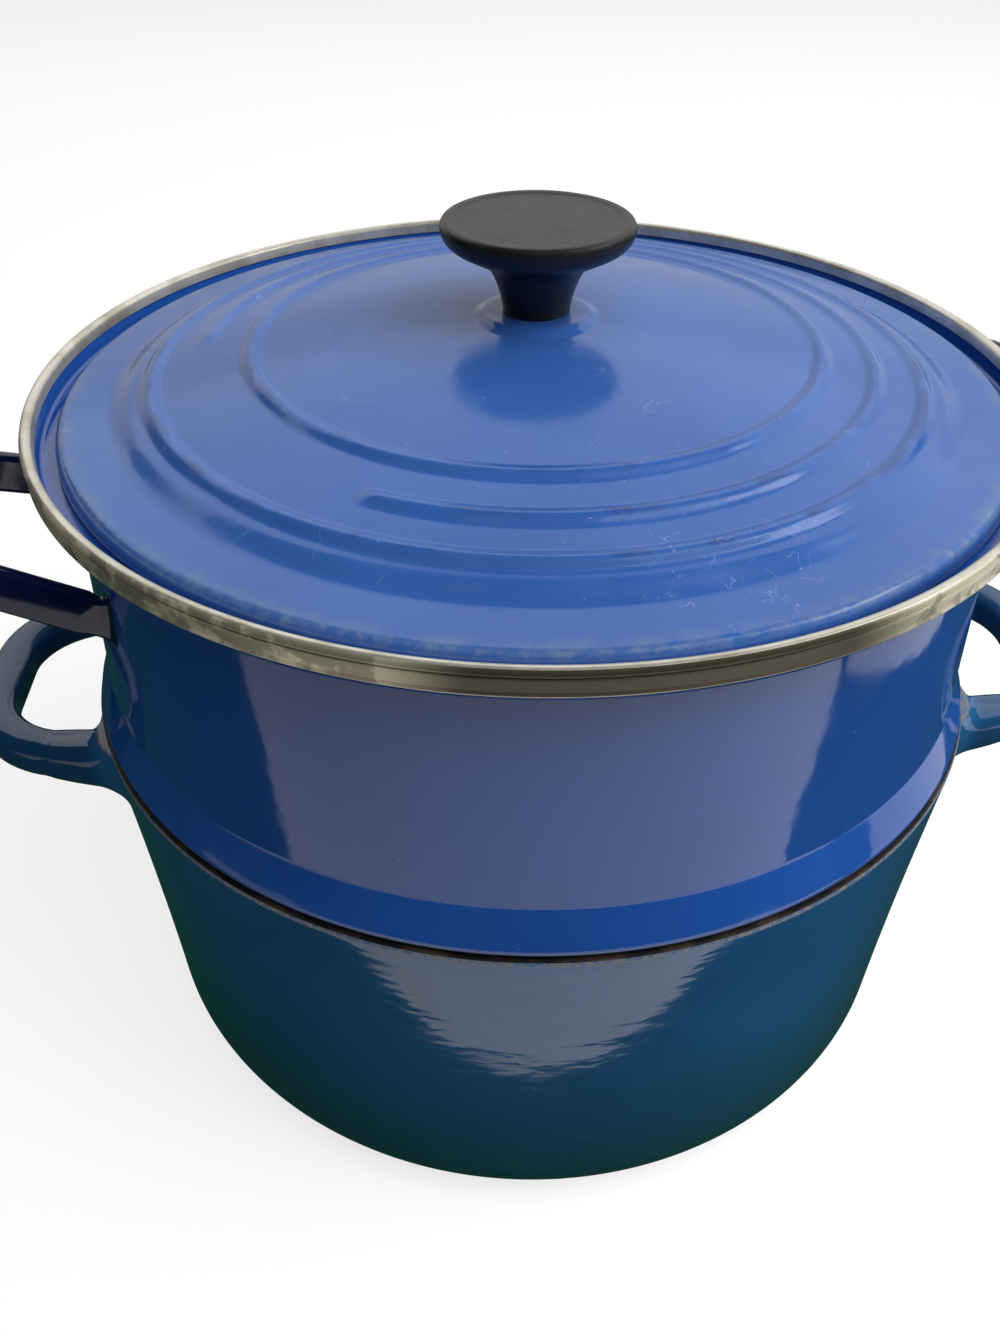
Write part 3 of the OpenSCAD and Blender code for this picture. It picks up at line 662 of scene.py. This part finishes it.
def bandOutline():
    h, bead, strip, roll = band["height"], band["bead"], band["strip"], band["roll"]
    grooveY = h - bead - 0.1
    rolled = arc(roll - strip, roll, roll, -180, 0, 10)
    face = [(0, 2 * roll + 0.2)] + line((0, 2 * roll + 0.4), (0, grooveY - 0.43), 0.8)
    groove = arc(band["groove"] - 0.3, grooveY, band["groove"], 250, 110, 8)
    side = arc(-bead, h - bead, bead, 0, 62, 6)
    top = arc(-bead, h - bead, bead, 62, 180, 12) \
        + line((-2 * bead, h - bead), (-2 * bead, h - bead - band["lip"]), 0.8) \
        + [(-2 * bead + strip, h - bead - band["lip"])] \
        + [(-2 * bead + strip, band["flangeY"] + band["gap"]), (-strip, band["flangeY"] + band["gap"])] \
        + [(-strip, 2 * roll)]
    parts = ((rolled, 0), (face, 1), (groove, 1), (side, 1), (top, 0))
    return [([onBand(x, y) for x, y in part], zone) for part, zone in parts]


bandData = turnOutline(bandOutline(), band["turns"], closed=True)
bandPiece = makePiece("foldedBand", "pan", "band_steel", *bandData, [brightBand, stainAndReflectionBand], band["sharp"])
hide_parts("steel_rim_band")

strap = {
    "reach": 157, "halfWidth": 34.5, "lean": 13, "width": 4, "tall": 11, "round": 1.5, "bend": 19,
    "z": 159.9, "foot": 113.9, "start": 112.6, "tilt": 22, "rootX": 110, "rootLength": 1, "rootWide": 0,
    "rootRise": 0, "hug": 5, "swellSide": 2.4, "swellUp": 3.6, "zTop": 183, "turn": 12}
for name, turn, node in (("strapRight", 0, "upper_handle_right"), ("strapLeft", 180, "upper_handle_left")):
    points, faces = loopHandle(strap, lambda z: pan["wallR"], strap["turn"] + turn)
    piece = makePiece(name, "pan", "pan_enamel", points, faces, [0] * len(faces), [strapShadedEnamel])
    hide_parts(node)
print("pan made")

# lid, in mm; angles are in degrees round the axis
lid = {
    "top": 210.3, "domeR": 385, "rings": (72.3, 85.5, 97.5), "ringH": 1.3, "ringW": 3.3,
    "bareArc": (173, 242), "arcEnd": 2.5,
    "stepIn": 102, "stepOut": 108.5, "brimRise": 1.2, "r": 121, "bottom": 187.3, "edgeT": 5,
    "edgeRound": 3, "padR": 12.5, "padZ": 211.5, "padBlend": 4, "thick": 3.6, "bore": 3.2,
    "skirtR": 116.4, "skirtT": 3.5, "skirtH": 6, "bossR": 9.5, "bossZ": 205.9, "chamfer": 0.6,
    "turns": 288}


def ease(t):
    t = min(1.0, max(0.0, t))
    return t * t * (3 - 2 * t)


def lidSurface(r):
    dome = lambda x: lid["top"] - lid["domeR"] + math.sqrt(lid["domeR"] ** 2 - x * x)
    edge = lid["r"] - lid["edgeRound"]
    brim = lambda x: lid["bottom"] + lid["edgeT"] + lid["brimRise"] * (edge - x) / (edge - lid["stepOut"])
    k = ease((r - lid["stepIn"]) / (lid["stepOut"] - lid["stepIn"]))
    return (1 - k) * dome(min(r, lid["stepOut"])) + k * brim(max(r, lid["stepIn"]))


def ringRise(r, at):
    off = min(1.0, abs(r - at) / lid["ringW"])
    return lid["ringH"] * (1 + math.cos(math.pi * off)) / 2


def lidTopAt(r):
    pad = 1 - ease((r - lid["padR"]) / lid["padBlend"])
    return (lidSurface(r) + sum(ringRise(r, at) for at in lid["rings"])) * (1 - pad) + lid["padZ"] * pad


def lidOutline():
    edge = lid["r"] - lid["edgeRound"]
    radii, r = [], lid["bore"]
    while r < edge:
        radii.append(r)
        r += 0.4 if lid["padR"] - 1 < r < lid["padR"] + 6 or r > lid["rings"][0] - 5 else 2.0
    radii.append(edge)
    top = [(x, lidTopAt(x)) for x in radii]
    brimZ = lid["bottom"] + lid["edgeT"]
    side = arc(edge, brimZ - lid["edgeRound"], lid["edgeRound"], 90, 0, 12) \
        + [(lid["r"], lid["bottom"] + lid["chamfer"]), (lid["r"] - lid["chamfer"], lid["bottom"])]
    skirtIn = lid["skirtR"] - lid["skirtT"]
    low = lid["bottom"] - lid["skirtH"]
    skirt = [(lid["skirtR"], lid["bottom"]), (lid["skirtR"], low + 1)] \
        + arc(lid["skirtR"] - 1, low + 1, 1, 0, -90, 6) + arc(skirtIn + 1, low + 1, 1, -90, -180, 6) \
        + [(skirtIn, lidSurface(skirtIn) - lid["thick"])]
    under, r = [], skirtIn
    while r > lid["bossR"] + 3:
        under.append((r, lidSurface(r) - lid["thick"]))
        r -= 1.5
    under += [(lid["bossR"], lid["bossZ"]), (lid["bore"], lid["bossZ"])]
    return [(top + side, 0), (skirt + under, 1)]


# The middle ring stops at both ends of an arc at the front left, which stays bare. Only the upper side moves
def openRing(points):
    first, last = lid["bareArc"]
    lowered = []
    for x, y, z in points:
        r, turn = math.hypot(x, y), math.degrees(math.atan2(y, x)) % 360
        if z > lidSurface(r) - lid["thick"] / 2:
            z -= ease(min(turn - first, last - turn) / lid["arcEnd"]) * ringRise(r, lid["rings"][1])
        lowered.append((x, y, z))
    return lowered


lidPoints, lidFaces, lidZones = turnOutline(lidOutline(), lid["turns"], closed=True)
lidPiece = makePiece("castLid", "lid", "lid_enamel", openRing(lidPoints), lidFaces, lidZones,
                     [lidEnamel, paleEnamel])
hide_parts("lid")
print("lid made")

# knob, in mm from its foot
knob = {"foot": 211.5, "height": 23.3, "r": 24.1, "stemR": 8.5, "edge": 22.5, "dish": 0.45, "dishR": 20.3,
        "bushR": 4, "bushL": 13, "turns": 160}


# The stem flares into the cap, whose top is slightly dished
def knobOutline():
    h, r = knob["height"], knob["r"]
    neck, under = (r * 0.55, h * 0.535), (r * 0.85, h * 0.705)
    stem, bushR, bushL = knob["stemR"], knob["bushR"], knob["bushL"]
    outline = [(0, bushL), (bushR, bushL), (bushR, 0), (stem - 0.4, 0)] \
        + bezier((stem, 0.3), (stem + 0.5, h * 0.2), (neck[0] - 2.4, neck[1] - 2), neck, 18) \
        + line(neck, under, 1.0) \
        + bezier(under, (under[0] + 2.6, under[1] + 1.4), (r, h - 4.2), (r, h - 1.8), 12) \
        + bezier((r, h - 1.8), (r, h - 0.8), (knob["edge"] + 0.9, h), (knob["edge"], h), 8) \
        + bezier((knob["edge"] - 0.6, h), (knob["dishR"] + 0.9, h), (knob["dishR"] + 0.5, h - knob["dish"]),
                 (knob["dishR"] - 0.4, h - knob["dish"]), 8) \
        + line((knob["dishR"] - 0.4, h - knob["dish"]), (0, h - knob["dish"]), 2)
    return [([(x, z + knob["foot"]) for x, z in outline], 0)]


knobData = turnOutline(knobOutline(), knob["turns"])
knobPiece = makePiece("phenolicKnob", "lid", "knob_phenolic", *knobData, [phenolic])
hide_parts("knob")
for node, material in (("knob_bush", bushBrass), ("knob_screw", screwSteel), ("knob_washer", screwSteel)):
    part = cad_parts[node]
    part.data.materials.clear()
    part.data.materials.append(material)
print("knob made")

# studio, in metres: pale floor, soft lamps, and cards that only the glaze and the steel reflect
studio = {"turn": 5.4, "world": 0.2, "floor": "#8e8e8c", "floorGlow": 0.76, "floorHalf": 6,
          "aimZ": 0.12,
          "shade": {"from": 0.1, "to": 1.6, "z": 0.001, "turns": 64, "glow": 0.035,
                    "tint": (0.12, 1.0, 0.45, 1)},
          "lamps": [
              {"name": "softKey", "at": (1.15, -0.3, 1.2), "size": (1.5, 1.3), "watts": 30},
              {"name": "softFill", "at": (0.15, -0.65, 1.6), "size": (1.2, 1.0), "watts": 11},
              {"name": "softBack", "at": (0.0, 1.2, 1.1), "size": (1.6, 1.0), "watts": 5}],
          "cards": [
              {"name": "paleGround", "glow": 1.0, "tint": (1.0, 0.97, 0.9, 1), "across": (0.38, 1.4),
               "half": 0.4, "corners": [
                   (-0.5, -0.19, 0.002), (-0.17, -0.157, 0.002), (0, -0.148, 0.002),
                   (0.176, -0.141, 0.002), (0.3, -0.138, 0.002), (0.42, -0.2, 0.002),
                   (0.42, -0.43, 0.002), (-0.5, -0.43, 0.002)]},
              {"name": "paleGroundRight", "glow": 0.95, "corners": [
                  (0.3, -0.13, 0.003), (0.62, -0.13, 0.003), (0.9, 0.03, 0.003), (0.9, 0.25, 0.003),
                  (0.38, 0.25, 0.003), (0.31, 0.02, 0.003)]},
              {"name": "darkFront", "glow": 0.0, "corners": [
                  (-1.5, -0.43, 0.0), (1.6, -0.43, 0.0), (1.6, -0.43, 1.25), (-1.5, -0.43, 1.25)]},
              {"name": "darkLeft", "glow": 0.0, "corners": [
                  (-1.5, -0.9, 0.0), (-1.5, 1.2, 0.0), (-1.5, 1.2, 1.2), (-1.5, -0.9, 1.2)]},
              {"name": "darkRight", "glow": 0.0, "corners": [
                  (1.5, -0.9, 0.0), (1.5, 1.2, 0.0), (1.5, 1.2, 0.7), (1.5, -0.9, 0.7)]},
              {"name": "darkCeiling", "glow": 0.0, "corners": [
                  (-1.6, -1.8, 1.25), (1.6, -1.8, 1.25), (1.6, 0.42, 1.25), (-1.6, 0.42, 1.25)]},
              {"name": "brightStrip", "glow": 6.0, "corners": [
                  (0.24, -0.40, 1.2), (0.34, -0.40, 1.2), (1.06, -0.02, 1.2), (0.98, -0.14, 1.2)]},
              {"name": "greyCurtain", "glow": 0.62, "corners": [
                  (-3, 2.5, 0), (3, 2.5, 0), (3, 2.5, 1.35), (-3, 2.5, 1.35)]},
              {"name": "brightWindow", "glow": 3.5, "corners": [
                  (1.2, -0.35, 1.0), (1.2, 0.25, 1.0), (0.95, 0.25, 1.45), (0.95, -0.35, 1.45)]}]}


white, nearBlack = (1, 1, 1, 1), (0.01, 0.01, 0.01, 1)


def plainMaterial(name, colour, glow, tint=white):
    material, tree, surface = startMaterial(name)
    surface.inputs["Base Color"].default_value = colour
    surface.inputs["Roughness"].default_value = 0.9
    surface.inputs["Specular IOR Level"].default_value = 0.0
    surface.inputs["Emission Color"].default_value = tint
    surface.inputs["Emission Strength"].default_value = glow
    return material


def makeCard(name, corners, faces, material):
    mesh = bpy.data.meshes.new(name)
    mesh.from_pydata(corners, [], faces)
    mesh.materials.append(material)
    card = bpy.data.objects.new(name, mesh)
    scene.collection.objects.link(card)
    return card


# Cards are placed as the camera faces, and only reflections see them
def onlyReflected(card):
    card.rotation_euler = (0, 0, -math.radians(studio["turn"]))
    card.visible_camera = card.visible_diffuse = card.visible_transmission = card.visible_shadow = False


# How much of a ray is seen by the camera, in a reflection or through glass
def seenRay(tree):
    rays = [addNode(tree, "ShaderNodeLightPath", {}, kind) for kind in ("Is Camera Ray", "Is Glossy Ray",
                                                                       "Is Transmission Ray")]
    either = addNode(tree, "ShaderNodeMath", {"operation": "MAXIMUM", 0: rays[0], 1: rays[1]})
    return addNode(tree, "ShaderNodeMath", {"operation": "MAXIMUM", 0: either, 1: rays[2]})


floorMaterial = plainMaterial("paleFloor", toLinear(studio["floor"]), 0.0)
floorTree = floorMaterial.node_tree
floorTree.links.new(addNode(floorTree, "ShaderNodeMath", {"operation": "MULTIPLY", 0: seenRay(floorTree),
                                                          1: studio["floorGlow"]}),
                    floorTree.nodes["Principled BSDF"].inputs["Emission Strength"])
half = studio["floorHalf"]
makeCard("floor", [(-half, -half, 0), (half, -half, 0), (half, half, 0), (-half, half, 0)],
         [(0, 1, 2, 3)], floorMaterial)

# Painted shade: a dark green ring, seen only in reflections, stands in for the shaded ground round the pot
shade = studio["shade"]
count = shade["turns"]
shadeCorners = [(r * math.cos(2 * math.pi * k / count), r * math.sin(2 * math.pi * k / count), shade["z"])
                for r in (shade["from"], shade["to"]) for k in range(count)]
shadeFaces = [(k, (k + 1) % count, count + (k + 1) % count, count + k) for k in range(count)]
shadedGreen = plainMaterial("shadedGreenGround", nearBlack, shade["glow"], shade["tint"])
onlyReflected(makeCard("shadedGround", shadeCorners, shadeFaces, shadedGreen))
for look in studio["cards"]:
    corners = look["corners"]
    material = plainMaterial(look["name"], nearBlack, look["glow"], look.get("tint", white))
    if "across" in look:  # dimmer at its left end than at its right
        tree = material.node_tree
        here = addNode(tree, "ShaderNodeTexCoord", {}, "Object")
        along = addNode(tree, "ShaderNodeSeparateXYZ", {0: here}, "X")
        glow = addNode(tree, "ShaderNodeMapRange", {
            "Value": along, "From Min": -look["half"], "From Max": look["half"],
            "To Min": look["across"][0], "To Max": look["across"][1]})
        tree.links.new(glow, tree.nodes["Principled BSDF"].inputs["Emission Strength"])
    onlyReflected(makeCard(look["name"], corners, [tuple(range(len(corners)))], material))
for look in studio["lamps"]:
    lamp = bpy.data.objects.new(look["name"], bpy.data.lights.new(look["name"], "AREA"))
    scene.collection.objects.link(lamp)
    lamp.data.shape = "RECTANGLE"
    lamp.data.size, lamp.data.size_y = look["size"]
    lamp.data.energy = look["watts"]
    lamp.location = look["at"]
    aim = Vector((0, 0, studio["aimZ"])) - lamp.location
    lamp.rotation_euler = aim.to_track_quat("-Z", "Y").to_euler()
    lamp.visible_camera = lamp.visible_glossy = False

world = bpy.data.worlds.new("studioWorld")
scene.world = world
world.use_nodes = True
tree = world.node_tree
tree.nodes["Background"].inputs["Color"].default_value = white
strength = addNode(tree, "ShaderNodeMapRange", {
    "Value": seenRay(tree), "To Min": studio["world"], "To Max": 1.0})
tree.links.new(strength, tree.nodes["Background"].inputs["Strength"])
print("studio made")
